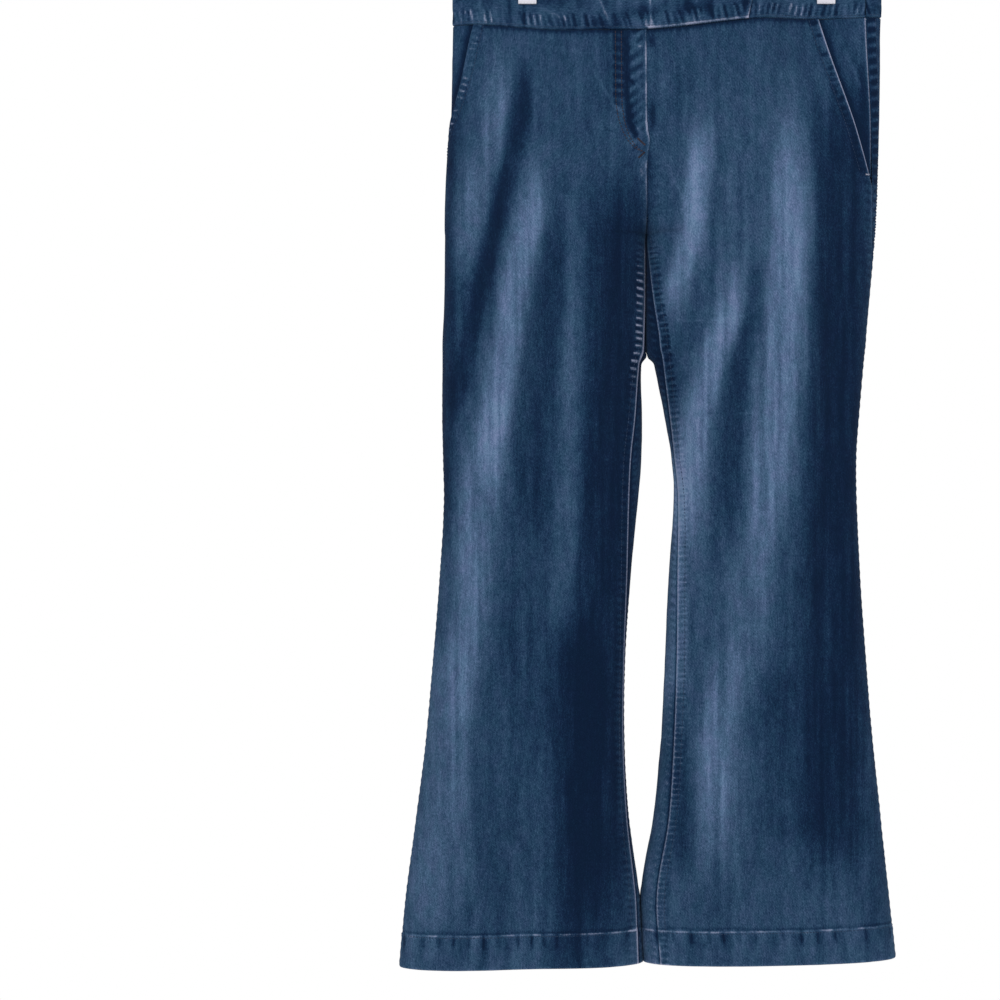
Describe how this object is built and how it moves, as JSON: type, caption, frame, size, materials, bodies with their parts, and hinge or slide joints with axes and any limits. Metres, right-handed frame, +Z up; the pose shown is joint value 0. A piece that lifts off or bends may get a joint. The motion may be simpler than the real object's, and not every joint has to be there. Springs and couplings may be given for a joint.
{
  "type": "flared jeans on a clip hanger",
  "caption": "Denim jeans with flared legs, slant pockets and a tabbed waistband, hung by the waist from a clip hanger.",
  "frame": {"origin": "inside top of the hanger's hook, where it sits on a rod", "axes": "+Z up; the front of the jeans faces -Y; the wearer's left is on +X"},
  "size_m": [0.5449, 0.0944, 1.2096],
  "materials": {
    "denim": "washed twill denim, worn pale along seams",
    "zip": "woven zip tape with a metal chain",
    "steel": "plated steel wire and bar",
    "clip_plastic": "white moulded plastic, ribbed jaws"
  },
  "bodies": {
    "root": {"front_right": "denim", "front_left": "denim", "back_right": "denim", "back_left": "denim", "pocket_facing_right": "denim", "pocket_facing_left": "denim", "waistband_right": "denim", "waistband_left": "denim", "waistband_back": "denim", "fly_shield": "denim", "fly_zip": "zip", "hanger_hook": "steel", "hanger_bar": "steel", "clip_right_front": "clip_plastic", "clip_right_back": "clip_plastic", "clip_left_front": "clip_plastic", "clip_left_back": "clip_plastic"}
  },
  "joints": []
}
